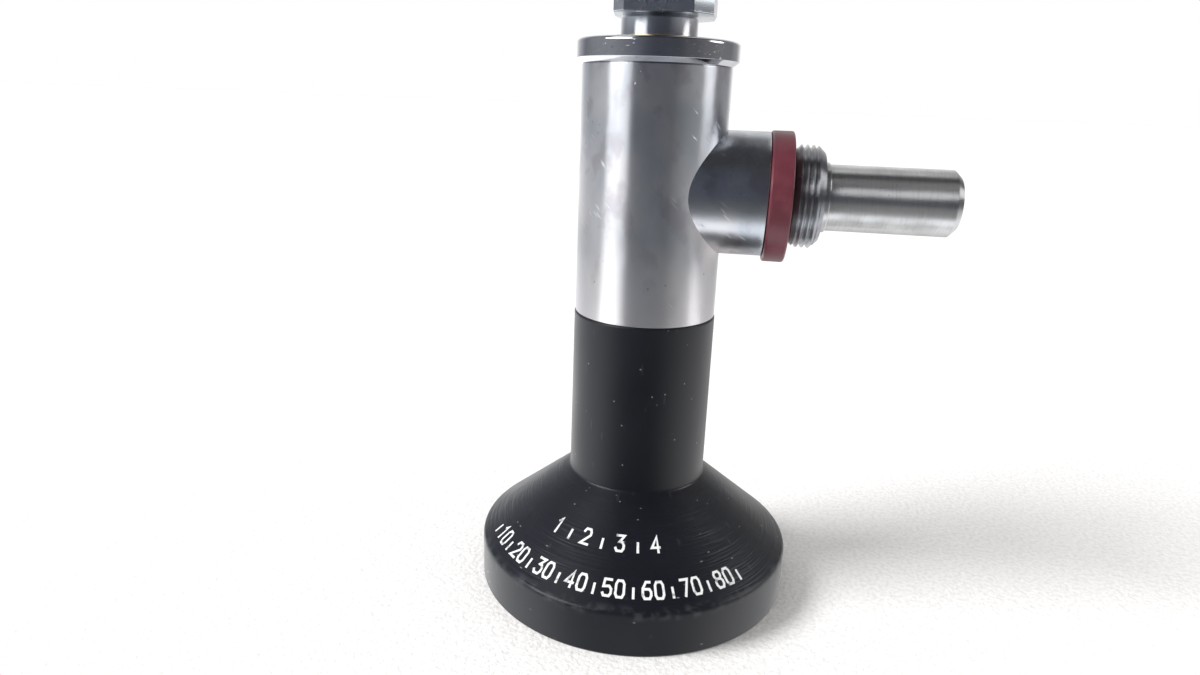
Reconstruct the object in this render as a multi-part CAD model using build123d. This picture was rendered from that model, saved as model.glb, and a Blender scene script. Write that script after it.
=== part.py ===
from build123d import *
import math
import os

# Rigid endoscope that stands on its eyepiece cup. Millimetres.
# Origin: centre of the cup's rim plane. +Z: optical axis, towards the tip. +X: light post.

# Radial gap of every sliding or screwed fit
fit_gap = 0.02

# Eyepiece shell: rim, cone and sleeve turned in one piece, with a dished eye side
cup_radius = 16.0
cup_rim_height = 4.42
cup_edge_chamfer = 0.14
cone_slope = 39.1
shoulder_round = 0.6
sleeve_radius = 6.95
sleeve_root_round = 0.45
sleeve_top_chamfer = 0.22
shell_length = 28.44
cup_rim_width = 1.7
dish_depth = 5.2
dish_bulge = 1.1
dish_floor_radius = 8.4
dish_lip_chamfer = 0.3
shell_lip_height = 0.8
shell_lip_radius = 4.2

# Eyepiece window in its screwed ring
window_ring_radius = 6.6
window_ring_height = 3.0
window_ring_lip = 0.7
window_ring_opening = 4.0
window_ring_chamfer = 0.4
wrench_notch_width = 1.2
wrench_notch_depth = 0.5
wrench_notch_length = 1.4
window_radius = 4.6
window_thickness = 1.6
window_gasket_height = 0.5
window_gasket_width = 1.4

# Ocular: a barrel with two lenses
barrel_radius = 4.9
barrel_wall = 0.8
barrel_end_gap = 0.04
barrel_lip_height = 0.7
barrel_lip_width = 0.6
eye_lens_edge = 1.8
eye_lens_dome = 0.8
ocular_spacer_length = 1.8
field_lens_edge = 1.8
field_lens_dome = 0.6
ocular_rim_width = 0.55
ocular_ring_height = 1.4

# Body tube and its spigot in the sleeve
body_radius = 6.88
body_bore = 5.2
body_length = 23.01
body_edge = 0.08
spigot_radius = 5.9
spigot_length = 8.1
body_gasket_height = 0.8

# Light post, along +X at this height over the shell: boss, loose ring, screwed adapter and smooth tip
post_height = 11.94
boss_radius = 5.72
boss_face_x = 10.81
boss_edge_chamfer = 0.12
boss_spigot_radius = 3.6
boss_bore = 3.0
boss_neck_radius = 4.1
colour_ring_radius = 6.03
colour_ring_width = 2.02
colour_ring_chamfer = 0.22
ring_end_gap = 0.03
ring_play = 0.2
groove_width = 0.25
post_gasket_thickness = 0.15
post_gasket_width = 0.85
adapter_radius = 4.71
adapter_length = 2.66
adapter_near_chamfer = 0.5
adapter_end_chamfer = 0.65
tip_root_x = 8.0
tip_shoulder_radius = 3.2
tip_shoulder_width = 0.55
tip_shoulder_chamfer = 0.1
post_tip_radius = 3.03
post_tip_end_x = 27.83
post_tip_chamfer = 0.6
post_tip_bore = 2.0
fibre_face_recess = 0.15
ferrule_wall = 0.36
ferrule_inset = 0.2

# Front cap of the body
collar_radius = 7.42
collar_height = 2.15
collar_bevel_height = 0.48
collar_edge_round = 0.35
collar_plug_length = 2.45
collar_bore = 3.0

# Neck, keyed lock plate and tapered ferrule, milled in one piece and brazed into the cap
neck_radius = 3.5
neck_height = 2.05
neck_undercut = 0.25
braze_size = 0.3
lock_root_length = 4.1
plate_thickness = 1.5
plate_half_depth = 4.65
plate_front_left = 2.74
plate_front_right = 3.25
plate_left = 4.15
plate_right = 5.08
plate_left_facet = 1.0
plate_right_facet = 1.6
plate_edge = 0.2
taper_base_radius = 3.4
taper_top_radius = 2.9
taper_land = 1.2
taper_length = 5.6
taper_edge_chamfer = 0.25

# Shaft
shaft_radius = 2.0
shaft_wall = 0.15
shaft_root_radius = 2.4
shaft_length = 175.0
view_angle = 30.0
optic_radius = 1.45
optic_wall = 0.15

# Optic carrier in the body, with the field mask
carrier_inset = 3.66
carrier_length = 7.0
carrier_recess = 0.6
carrier_recess_radius = 2.6
carrier_nut_height = 2.0
nut_slot_width = 1.0
nut_slot_depth = 0.8
mask_thickness = 0.25
mask_aperture = 1.0

# Lens train in the optic tube
rod_count = 6
spacer_length = 4.0
spacer_wall = 0.23
rod_dome = 0.1
train_stop_length = 0.8
train_stop_wall = 0.33
washer_rise = 0.22
washer_thickness = 0.12
cell_length = 6.4
cell_wall = 0.16
cell_lip_height = 0.4
cell_lip_width = 0.35
objective_edge = 1.2
objective_dome = 0.2
objective_rim_width = 0.15
prism_length = 2.6
distal_window_thickness = 0.5

# Fibre bundle: bent stem in the body, fan round the optic tube, annulus in the shaft
fibre_bend_radius = 3.0
fibre_optic_gap = 0.15
fan_radius = 4.9
fan_height = 2.7
fan_land = 0.8
fan_gap = 0.1

# Heights along the axis, worked out from the sizes above
view_tangent = math.tan(math.radians(view_angle))
dish_radius = cup_radius - cup_rim_width
cone_top_z = cup_rim_height + (cup_radius - sleeve_radius) * math.tan(math.radians(cone_slope))
window_ring_top_z = dish_depth + window_ring_height
window_gasket_top_z = window_ring_top_z + window_gasket_height
barrel_bottom_z = window_gasket_top_z + shell_lip_height
body_top_z = shell_length + body_length
post_z = shell_length + post_height
body_spigot_z = shell_length - spigot_length
socket_floor_z = body_spigot_z - body_gasket_height
barrel_top_z = socket_floor_z - barrel_end_gap
carrier_bottom_z = body_spigot_z + carrier_inset
collar_plug_z = body_top_z - collar_plug_length
fan_bottom_z = collar_plug_z - fan_height
collar_top_z = body_top_z + collar_height
lock_root_z = collar_top_z - lock_root_length
plate_bottom_z = collar_top_z + neck_height
plate_top_z = plate_bottom_z + plate_thickness
taper_top_z = plate_top_z + taper_land + taper_length
tip_z = plate_top_z + shaft_length
face_z = tip_z - shaft_radius * view_tangent
prism_top_z = face_z - distal_window_thickness / math.cos(math.radians(view_angle))
prism_bottom_z = prism_top_z - prism_length
cell_bottom_z = face_z - cell_length
mask_bottom_z = carrier_bottom_z + carrier_recess - mask_thickness
optic_bottom_z = carrier_bottom_z + carrier_recess
carrier_top_z = carrier_bottom_z + carrier_length
washer_z = optic_bottom_z + train_stop_length
train_z = washer_z + washer_rise + washer_thickness
rod_length = (cell_bottom_z - train_z - (rod_count + 1) * spacer_length) / rod_count

# Places along the light post
colour_ring_x = boss_face_x + ring_end_gap
adapter_x = colour_ring_x + colour_ring_width + groove_width
neck_end_x = adapter_x - post_gasket_thickness
adapter_end_x = adapter_x + adapter_length
fibre_face_x = post_tip_end_x - fibre_face_recess

# Radii that follow from the part around them
lens_radius = barrel_radius - barrel_wall - fit_gap
lens_rim = lens_radius - ocular_rim_width
train_radius = optic_radius - optic_wall - fit_gap
train_bore = train_radius - spacer_wall
cell_bore = train_radius - cell_wall
tip_root_radius = boss_bore - fit_gap
ferrule_radius = post_tip_bore - fit_gap
stem_radius = ferrule_radius - ferrule_wall - fit_gap
fibre_inner_radius = optic_radius + fit_gap
fibre_outer_radius = shaft_radius - shaft_wall - fit_gap
stem_x = optic_radius + fibre_optic_gap + stem_radius


def turned(*outline):
    """A solid turned about Z from a closed outline of (radius, height) points."""
    return revolve(Plane.XZ * make_face(Polyline(*outline, close=True)), Axis.Z)


def rod(radius, low, high):
    return turned((0, low), (radius, low), (radius, high), (0, high))


def tube(outer, inner, low, high):
    return turned((inner, low), (outer, low), (outer, high), (inner, high))


def rings_at(solid, radius, height):
    """The circular edges of a turned solid that have this radius and lie at this height."""
    circles = solid.edges().filter_by(GeomType.CIRCLE)
    return [e for e in circles if abs(e.radius - radius) < 1e-4 and abs(e.arc_center.Z - height) < 1e-4]


def along_post(solid):
    """A solid turned about Z, laid along the light post's axis."""
    return Pos(0, 0, post_z) * Rot(0, 90, 0) * solid


def dome_edges(radius, rim, height, dome):
    """The half section of a lens end: a dome up to the rim radius, then a flat rim."""
    if not dome:
        return Line((0, height), (radius, height))
    whole = ThreePointArc((-rim, height), (0, height + dome), (rim, height))
    return whole.trim(0.5, 1) + Line((rim, height), (radius, height))


def lens(radius, rim, low, high, low_dome, high_dome):
    """A round lens between two rim heights, with a dome of the given height on each end."""
    ends = dome_edges(radius, rim, low, -low_dome) + dome_edges(radius, rim, high, high_dome)
    wall = Line((radius, low), (radius, high))
    axis = Line((0, low - low_dome), (0, high + high_dome))
    return revolve(Plane.XZ * make_face(ends + wall + axis), Axis.Z)


def slanted_block(height, side):
    """A block over or under the plane that is square to the viewing direction at this height."""
    size = 12 * shaft_radius
    block = Box(size, size, size, align=(Align.CENTER, Align.CENTER, side))
    return Pos(0, 0, height) * Rot(0, -view_angle, 0) * block


def cut_over(solid, height):
    return solid - slanted_block(height, Align.MIN)


def eyepiece_shell():
    middle_radius = (dish_radius + dish_floor_radius) / 2
    run = dish_radius - dish_floor_radius
    chord = math.hypot(run, dish_depth)
    bowl = ThreePointArc(
        (dish_floor_radius, dish_depth),
        (middle_radius + dish_bulge * dish_depth / chord, dish_depth / 2 + dish_bulge * run / chord),
        (dish_radius, 0),
    )
    walls = Polyline(
        (dish_radius, 0),
        (cup_radius, 0),
        (cup_radius, cup_rim_height),
        (sleeve_radius, cone_top_z),
        (sleeve_radius, shell_length),
        (spigot_radius, shell_length),
        (spigot_radius, socket_floor_z),
        (barrel_radius, socket_floor_z),
        (barrel_radius, barrel_bottom_z),
        (shell_lip_radius, barrel_bottom_z),
        (shell_lip_radius, window_gasket_top_z),
        (window_ring_radius, window_gasket_top_z),
        (window_ring_radius, dish_depth),
        (dish_floor_radius, dish_depth),
    )
    shell = revolve(Plane.XZ * make_face(bowl + walls), Axis.Z)
    shell = chamfer(rings_at(shell, cup_radius, 0), cup_edge_chamfer)
    shell = chamfer(rings_at(shell, dish_radius, 0), dish_lip_chamfer)
    shell = fillet(rings_at(shell, cup_radius, cup_rim_height), shoulder_round)
    shell = fillet(rings_at(shell, sleeve_radius, cone_top_z), sleeve_root_round)
    return chamfer(rings_at(shell, sleeve_radius, shell_length), sleeve_top_chamfer)


def window_ring():
    bore = window_radius + fit_gap
    lip_top = dish_depth + window_ring_lip
    ring = turned(
        (window_ring_opening, dish_depth),
        (window_ring_radius - fit_gap, dish_depth),
        (window_ring_radius - fit_gap, window_ring_top_z),
        (bore, window_ring_top_z),
        (bore, lip_top),
        (window_ring_opening, lip_top),
    )
    ring = chamfer(rings_at(ring, window_ring_opening, dish_depth), window_ring_chamfer)
    notch = Box(wrench_notch_length, wrench_notch_width, 2 * wrench_notch_depth)
    for side in (-1, 1):
        ring -= Pos(side * window_ring_radius, 0, dish_depth) * notch
    return ring


def eyepiece_window():
    low = dish_depth + window_ring_lip
    return rod(window_radius, low, low + window_thickness)


def window_gasket():
    outer = window_ring_radius - fit_gap
    return tube(outer, outer - window_gasket_width, window_ring_top_z, window_gasket_top_z)


def ocular():
    """The barrel and what it holds, from the eye side up."""
    outer = barrel_radius - fit_gap
    bore = barrel_radius - barrel_wall
    lens_z = barrel_bottom_z + barrel_lip_height
    spacer_z = lens_z + eye_lens_edge
    field_z = spacer_z + ocular_spacer_length
    ring_z = field_z + field_lens_edge
    barrel = turned(
        (bore - barrel_lip_width, barrel_bottom_z),
        (outer, barrel_bottom_z),
        (outer, barrel_top_z),
        (bore, barrel_top_z),
        (bore, lens_z),
        (bore - barrel_lip_width, lens_z),
    )
    return {
        "ocular_barrel": barrel,
        "eye_lens": lens(lens_radius, lens_rim, lens_z, spacer_z, 0, eye_lens_dome),
        "ocular_spacer": tube(lens_radius, lens_rim, spacer_z, field_z),
        "field_lens": lens(lens_radius, lens_rim, field_z, ring_z, field_lens_dome, 0),
        "ocular_retaining_ring": tube(lens_radius, lens_rim, ring_z, ring_z + ocular_ring_height),
    }


def main_body():
    body = turned(
        (body_bore, body_spigot_z),
        (spigot_radius - fit_gap, body_spigot_z),
        (spigot_radius - fit_gap, shell_length),
        (body_radius, shell_length),
        (body_radius, body_top_z),
        (body_bore, body_top_z),
    )
    body = chamfer(rings_at(body, body_radius, body_top_z), body_edge)
    body = chamfer(rings_at(body, body_radius, shell_length), body_edge)
    return body - along_post(rod(boss_spigot_radius + fit_gap, 0, boss_face_x))


def body_gasket():
    return tube(spigot_radius - fit_gap, body_bore, socket_floor_z, body_spigot_z)


def light_post_boss():
    """A boss whose foot fits the round of the body, with a spigot in the body's side hole."""
    head = rod(boss_radius, 0, boss_face_x)
    head = chamfer(rings_at(head, boss_radius, boss_face_x), boss_edge_chamfer)
    tall = 2 * body_top_z
    foot = along_post(head) - Cylinder(body_radius, tall)
    spigot = along_post(rod(boss_spigot_radius, 0, boss_face_x)) - Cylinder(body_bore, tall)
    neck = along_post(rod(boss_neck_radius, boss_face_x, neck_end_x))
    return foot + spigot + neck - along_post(rod(boss_bore, 0, neck_end_x))


def colour_ring():
    """A loose ring that hangs on the boss's neck."""
    far_x = colour_ring_x + colour_ring_width
    ring = tube(colour_ring_radius, boss_neck_radius + ring_play, colour_ring_x, far_x)
    edges = rings_at(ring, colour_ring_radius, colour_ring_x) + rings_at(ring, colour_ring_radius, far_x)
    return Pos(0, 0, fit_gap - ring_play) * along_post(chamfer(edges, colour_ring_chamfer))


def post_gasket():
    outer = boss_neck_radius - fit_gap
    return along_post(tube(outer, outer - post_gasket_width, neck_end_x, adapter_x))


def light_post_adapter():
    ring = tube(adapter_radius, boss_bore, adapter_x, adapter_end_x)
    ring = chamfer(rings_at(ring, adapter_radius, adapter_x), adapter_near_chamfer)
    return along_post(chamfer(rings_at(ring, adapter_radius, adapter_end_x), adapter_end_chamfer))


def light_post_spigot():
    """The smooth tip, with a shoulder that seats on the adapter's end face."""
    shoulder_end_x = adapter_end_x + tip_shoulder_width
    spigot = turned(
        (post_tip_bore, tip_root_x),
        (tip_root_radius, tip_root_x),
        (tip_root_radius, adapter_end_x),
        (tip_shoulder_radius, adapter_end_x),
        (tip_shoulder_radius, shoulder_end_x),
        (post_tip_radius, shoulder_end_x),
        (post_tip_radius, post_tip_end_x),
        (post_tip_bore, post_tip_end_x),
    )
    spigot = chamfer(rings_at(spigot, tip_shoulder_radius, shoulder_end_x), tip_shoulder_chamfer)
    return along_post(chamfer(rings_at(spigot, post_tip_radius, post_tip_end_x), post_tip_chamfer))


def fibre_ferrule():
    sleeve = tube(ferrule_radius, ferrule_radius - ferrule_wall, tip_root_x + ferrule_inset, fibre_face_x)
    return along_post(sleeve)


def light_fibre_bundle():
    """Fibres from the post's end face, bent up beside the optic tube, then spread round it in the shaft."""
    fan = turned(
        (fibre_inner_radius, fan_bottom_z),
        (fan_radius, fan_bottom_z),
        (fan_radius, fan_bottom_z + fan_land),
        (fibre_outer_radius, collar_plug_z - fan_gap),
        (fibre_outer_radius, tip_z),
        (fibre_inner_radius, tip_z),
    )
    path = FilletPolyline(
        (stem_x, 0, fan_bottom_z + fan_land / 2),
        (stem_x, 0, post_z),
        (fibre_face_x, 0, post_z),
        radius=fibre_bend_radius,
    )
    start = Plane(origin=path @ 0, z_dir=path % 0)
    stem = sweep(start * Circle(stem_radius), path)
    return cut_over(fan + stem, face_z)


def collar_ring():
    """The front cap: a plug in the body's bore under a bevelled head."""
    cap = turned(
        (collar_bore, collar_plug_z),
        (body_bore - fit_gap, collar_plug_z),
        (body_bore - fit_gap, body_top_z),
        (body_radius - body_edge, body_top_z),
        (collar_radius, body_top_z + collar_bevel_height),
        (collar_radius, collar_top_z),
        (collar_bore, collar_top_z),
    )
    return fillet(rings_at(cap, collar_radius, collar_top_z), collar_edge_round)


def plate_outline():
    """The keyed plate seen from above: facets at its four corners, and its right side stands further out."""
    left = [
        (-plate_left, 0),
        (-plate_front_left - plate_left_facet, plate_left_facet - plate_half_depth),
        (-plate_front_left, -plate_half_depth),
    ]
    right = [
        (plate_front_right, -plate_half_depth),
        (plate_front_right + plate_right_facet, plate_right_facet - plate_half_depth),
        (plate_right, 0),
    ]
    front = left + right
    back = [(x, -y) for x, y in reversed(front[1:-1])]
    return front + back


def lock_fitting():
    bore = shaft_root_radius + fit_gap
    core = turned(
        (bore, lock_root_z),
        (collar_bore - fit_gap, lock_root_z),
        (collar_bore - fit_gap, collar_top_z),
        (neck_radius, collar_top_z),
        (neck_radius, plate_bottom_z - neck_undercut),
        (neck_radius - neck_undercut, plate_bottom_z),
        (taper_base_radius, plate_top_z),
        (taper_base_radius, plate_top_z + taper_land),
        (taper_top_radius, taper_top_z),
        (bore, taper_top_z),
    )
    core = chamfer(rings_at(core, taper_top_radius, taper_top_z), taper_edge_chamfer)
    outline = make_face(Polyline(*plate_outline(), close=True))
    plate = extrude(Pos(0, 0, plate_bottom_z) * outline, plate_thickness)
    plate = chamfer(plate.faces().sort_by(Axis.Z)[-1].edges(), plate_edge)
    return core + (plate - Pos(0, 0, plate_bottom_z) * Cylinder(bore, 4 * plate_thickness))


def neck_braze():
    """Braze metal in the corner between neck and cap."""
    foot = (neck_radius, collar_top_z)
    return turned(foot, (neck_radius + braze_size, collar_top_z), (neck_radius, collar_top_z + braze_size))


def outer_tube():
    """The shaft, with a thick root that is brazed into the lock fitting and ends flush with it."""
    bore = shaft_radius - shaft_wall
    shaft = turned(
        (bore, lock_root_z),
        (shaft_root_radius, lock_root_z),
        (shaft_root_radius, taper_top_z),
        (shaft_radius, taper_top_z),
        (shaft_radius, tip_z),
        (bore, tip_z),
    )
    return cut_over(shaft, face_z)


def optic_tube():
    return cut_over(tube(optic_radius, optic_radius - optic_wall, optic_bottom_z, tip_z), face_z)


def optic_carrier():
    outer = body_bore - fit_gap
    bore = optic_radius + fit_gap
    return turned(
        (carrier_recess_radius, carrier_bottom_z),
        (outer, carrier_bottom_z),
        (outer, carrier_top_z),
        (bore, carrier_top_z),
        (bore, optic_bottom_z),
        (carrier_recess_radius, optic_bottom_z),
    )


def carrier_nut():
    outer = body_bore - fit_gap
    top = carrier_top_z + carrier_nut_height
    slot = Box(2 * body_bore, nut_slot_width, 2 * nut_slot_depth)
    return tube(outer, optic_radius + fit_gap, carrier_top_z, top) - Pos(0, 0, top) * slot


def field_mask():
    return tube(carrier_recess_radius - fit_gap, mask_aperture, mask_bottom_z, optic_bottom_z)


def train_stop():
    return tube(train_radius, train_radius - train_stop_wall, optic_bottom_z, washer_z)


def spring_washer():
    """A cone washer between the stop and the first spacer."""
    inner = train_radius - train_stop_wall
    return turned(
        (inner, washer_z),
        (train_radius, washer_z + washer_rise),
        (train_radius, washer_z + washer_rise + washer_thickness),
        (inner, washer_z + washer_thickness),
    )


def lens_train():
    """Spacer tubes and rod lenses in turn, from the eyepiece side to the objective cell."""
    pieces = {}
    low = train_z
    for number in range(1, rod_count + 2):
        pieces[f"spacer_tube_{number}"] = tube(train_radius, train_bore, low, low + spacer_length)
        low += spacer_length
        if number <= rod_count:
            rod = lens(train_radius, train_bore, low, low + rod_length, rod_dome, rod_dome)
            pieces[f"rod_lens_{number}"] = rod
            low += rod_length
    return pieces


def objective():
    """The distal optics: a cell with its lens and prism, and the window that closes it at a slant."""
    radius = cell_bore - fit_gap
    lens_z = cell_bottom_z + cell_lip_height
    cell = turned(
        (cell_bore - cell_lip_width, cell_bottom_z),
        (train_radius, cell_bottom_z),
        (train_radius, tip_z),
        (cell_bore, tip_z),
        (cell_bore, lens_z),
        (cell_bore - cell_lip_width, lens_z),
    )
    rim = radius - objective_rim_width
    window = rod(train_radius, prism_bottom_z, tip_z) - slanted_block(prism_top_z, Align.MAX)
    return {
        "objective_cell": cut_over(cell, prism_top_z),
        "objective_lens": lens(radius, rim, lens_z, lens_z + objective_edge, 0, objective_dome),
        "objective_prism": cut_over(rod(radius, prism_bottom_z, tip_z), prism_top_z),
        "distal_window": cut_over(window, face_z),
    }


def build_parts():
    single = (
        eyepiece_shell,
        window_ring,
        eyepiece_window,
        window_gasket,
        main_body,
        body_gasket,
        light_post_boss,
        colour_ring,
        post_gasket,
        light_post_adapter,
        light_post_spigot,
        fibre_ferrule,
        light_fibre_bundle,
        collar_ring,
        lock_fitting,
        neck_braze,
        outer_tube,
        optic_tube,
        optic_carrier,
        carrier_nut,
        field_mask,
        train_stop,
        spring_washer,
    )
    parts = {make.__name__: make() for make in single}
    return parts | ocular() | lens_train() | objective()


def main():
    os.makedirs("parts", exist_ok=True)
    for name, solid in build_parts().items():
        export_step(solid, f"parts/{name}.step")


main()
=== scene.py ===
import math

import bmesh
import bpy
import numpy as np
from mathutils import Matrix, Vector


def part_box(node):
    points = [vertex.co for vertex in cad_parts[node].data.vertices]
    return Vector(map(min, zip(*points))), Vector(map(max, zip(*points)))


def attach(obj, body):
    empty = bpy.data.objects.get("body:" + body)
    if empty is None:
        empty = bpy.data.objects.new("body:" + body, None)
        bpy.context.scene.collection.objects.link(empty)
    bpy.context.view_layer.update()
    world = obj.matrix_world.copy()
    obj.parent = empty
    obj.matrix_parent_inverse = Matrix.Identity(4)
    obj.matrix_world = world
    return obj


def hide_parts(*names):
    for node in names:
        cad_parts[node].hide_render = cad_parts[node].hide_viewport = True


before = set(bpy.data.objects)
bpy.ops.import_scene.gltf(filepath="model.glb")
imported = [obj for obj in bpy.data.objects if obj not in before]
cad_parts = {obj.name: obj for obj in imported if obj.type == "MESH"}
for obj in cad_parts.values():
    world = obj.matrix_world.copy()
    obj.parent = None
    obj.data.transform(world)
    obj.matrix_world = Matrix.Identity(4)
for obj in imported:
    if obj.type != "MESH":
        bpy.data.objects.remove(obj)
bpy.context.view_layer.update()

# Rigid endoscope that stands on its eyepiece cup. Metres, in the frame of the CAD model.
MM = 0.001
BODY = "root"

# How finely turned forms are divided, how far from a rounding its support points lie, and the
# angle from which an edge shows as sharp
TURN_STEPS = 256
ARC_STEPS = 6
SUPPORT = 0.05 * MM
SHARP_ANGLE = math.radians(28)


def reach(node):
    """Radius of a node about the optical axis."""
    low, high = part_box(node)
    return max(high.x, high.y)


def post_reach(node):
    """Radius of a node about the light post's axis."""
    low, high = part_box(node)
    return (high.y - low.y) / 2


# Places that the frame gives
cup_radius = reach("eyepiece_shell")
shell_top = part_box("eyepiece_shell")[1].z
body_low, body_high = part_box("main_body")
body_radius = reach("main_body")
collar_low, collar_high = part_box("collar_ring")
collar_radius = reach("collar_ring")
boss_low, boss_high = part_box("light_post_boss")
boss_radius = post_reach("light_post_boss")
post_z = (boss_low.z + boss_high.z) / 2
ring_low, ring_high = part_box("colour_ring")
ring_radius = post_reach("colour_ring")
ring_z = (ring_low.z + ring_high.z) / 2
adapter_low, adapter_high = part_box("light_post_adapter")
adapter_radius = post_reach("light_post_adapter")
tip_low, tip_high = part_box("light_post_spigot")
lock_low, lock_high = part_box("lock_fitting")
shaft_low, shaft_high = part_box("outer_tube")
window_ring_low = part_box("window_ring")[0]
barrel_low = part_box("ocular_barrel")[0]
gasket_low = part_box("body_gasket")[0]

# Gap between two pieces that fit into each other
fit_gap = 0.02 * MM

# Eyepiece shell
cup_rim_height = 4.42 * MM
cone_slope = math.radians(39.1)
sleeve_radius = 6.95 * MM
dish_radius = 14.3 * MM
dish_bulge = 1.1 * MM
dish_floor_radius = 8.4 * MM
socket_radius = 5.9 * MM
barrel_bore = 4.9 * MM
shell_lip_radius = 4.2 * MM
shell_lip_width = 0.8 * MM
window_seat_radius = 6.6 * MM
dish_edge = 0.3 * MM
foot_edge = 0.14 * MM
rim_edge = 0.6 * MM
cone_root = 0.45 * MM
sleeve_edge = 0.22 * MM
cone_top = cup_rim_height + (cup_radius - sleeve_radius) * math.tan(cone_slope)

# Body, boss and light post
body_bore = 5.2 * MM
body_edge = 0.08 * MM
boss_face_x = 10.81 * MM
boss_spigot_radius = 3.6 * MM
boss_neck_radius = 4.1 * MM
boss_bore = 3.0 * MM
boss_edge = 0.12 * MM
ring_bore = 4.3 * MM
ring_bore_edge = 0.08 * MM
ring_edge = 0.2 * MM
thread_pitch = 0.55 * MM
thread_depth = 0.3 * MM
thread_land = 0.16
thread_rows = 112
near_chamfer = 0.5 * MM
end_chamfer = 0.65 * MM
tip_radius = 3.03 * MM
tip_shoulder_radius = 3.2 * MM
tip_shoulder_width = 0.55 * MM
tip_shoulder_edge = 0.12 * MM
tip_root = 0.04 * MM
tip_bore = 2.0 * MM
tip_chamfer = 0.6 * MM
tip_edge = 0.14 * MM
tip_end_edge = 0.10 * MM
tip_mouth_edge = 0.06 * MM

# Collar, neck, lock plate and shaft
collar_bevel_height = 0.48 * MM
collar_bore = 3.0 * MM
collar_foot_edge = 0.06 * MM
collar_edge = 0.35 * MM
neck_radius = 3.5 * MM
neck_undercut = 0.25 * MM
neck_edge = 0.1 * MM
plate_bottom = collar_high.z + 2.05 * MM
plate_top = plate_bottom + 1.5 * MM
plate_half_depth = 4.65 * MM
plate_front_left = 2.74 * MM
plate_front_right = 3.25 * MM
plate_left = 4.15 * MM
plate_right = 5.08 * MM
plate_left_facet = 1.0 * MM
plate_right_facet = 1.6 * MM
plate_edge = 0.12 * MM
plate_cover = 0.3 * MM
taper_base_radius = 3.4 * MM
taper_top_radius = 2.9 * MM
taper_land = 1.2 * MM
taper_shoulder = 0.5 * MM
taper_edge = 0.25 * MM
shaft_root_radius = 2.4 * MM
shaft_radius = 2.0 * MM
shaft_bore = 1.85 * MM
shaft_edge = 0.03 * MM
tip_rows_start = 3 * MM
braze_size = 0.34 * MM
braze_root = 0.1 * MM
view_slope = math.tan(math.radians(30))

# How far up from its lower end the body is painted lighter, as a painted reflection of the bright
# floor, and how far it is duller
painted_reflection_reach = 8 * MM
duller_reach = 16 * MM

# Scale on the cone: two arcs of plain numbers and ticks
outer_scale_radius = 14.85 * MM
inner_scale_radius = 11.55 * MM
digit_height = 1.5 * MM
digit_width = 0.78 * MM
digit_gap = 0.42 * MM
tick_height = 0.9 * MM
stroke_width = 0.24 * MM
stroke_rise = 0.014 * MM
stroke_root = 0.05 * MM


def corner_arc(before, corner, after, radius):
    """Points of the arc that rounds one corner, with a support point on each side."""
    toward, away = before - corner, after - corner
    toward_length, away_length = toward.length, away.length
    toward, away = toward / toward_length, away / away_length
    half = math.acos(max(-1.0, min(1.0, toward.dot(away)))) / 2
    reach_back = radius / math.tan(half)
    centre = corner + (toward + away).normalized() * (radius / math.sin(half))
    first = corner + toward * reach_back - centre
    last = corner + away * reach_back - centre
    turn = first.angle_signed(last)
    points = []
    for step in range(ARC_STEPS + 1):
        points.append(centre + Matrix.Rotation(-turn * step / ARC_STEPS, 2) @ first)
    if toward_length > reach_back + 3 * SUPPORT:
        points.insert(0, corner + toward * (reach_back + SUPPORT))
    if away_length > reach_back + 3 * SUPPORT:
        points.append(corner + away * (reach_back + SUPPORT))
    return points


def rounded(outline):
    """A closed outline of (radius, along, corner radius) with its corners rounded."""
    places = [Vector(point[:2]) for point in outline]
    points = []
    for number, place in enumerate(places):
        following = places[(number + 1) % len(places)]
        size = outline[number][2] if len(outline[number]) > 2 else 0
        if size:
            points += corner_arc(places[number - 1], place, following, size)
        else:
            points.append(place)
    return np.array([tuple(point) for point in points])


def angles():
    return np.linspace(0, 2 * math.pi, TURN_STEPS, endpoint=False)


def about_axis(radii, heights):
    """Points round the optical axis from arrays of radius and height."""
    turn = angles()
    return np.stack([radii * np.cos(turn), radii * np.sin(turn), heights + 0 * turn], -1)


def about_post(radii, places, centre_z):
    """Points round the light post from arrays of radius and place along it."""
    turn = angles()
    return np.stack([places + 0 * turn, radii * np.cos(turn), centre_z + radii * np.sin(turn)], -1)


def finish_piece(name, vertices, faces, material, nodes):
    """A smooth-shaded mesh that stands for CAD nodes and rides on the body."""
    mesh = bpy.data.meshes.new(name)
    mesh.from_pydata(vertices, [], faces)
    work = bmesh.new()
    work.from_mesh(mesh)
    bmesh.ops.recalc_face_normals(work, faces=work.faces)
    work.to_mesh(mesh)
    work.free()
    mesh.shade_smooth()
    mesh.set_sharp_from_angle(angle=SHARP_ANGLE)
    mesh.materials.append(material)
    piece = bpy.data.objects.new(name, mesh)
    bpy.context.scene.collection.objects.link(piece)
    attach(piece, BODY)
    if nodes:
        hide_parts(*nodes)
    return piece


def wrapped_faces(rows, columns):
    """Quads that join rows of points to each other and to themselves, closed both ways."""
    index = np.arange(rows * columns).reshape(rows, columns)
    right = np.roll(index, -1, 1)
    corners = (index, right, np.roll(right, -1, 0), np.roll(index, -1, 0))
    return np.stack(corners, -1).reshape(-1, 4)


def grid_piece(name, points, material, nodes):
    faces = wrapped_faces(*points.shape[:2]).tolist()
    return finish_piece(name, points.reshape(-1, 3).tolist(), faces, material, nodes)


def turned_piece(name, outline, material, nodes):
    """A piece turned about the optical axis."""
    outline = rounded(outline)
    points = about_axis(outline[:, :1], outline[:, 1:])
    return grid_piece(name, points, material, nodes)


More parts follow.
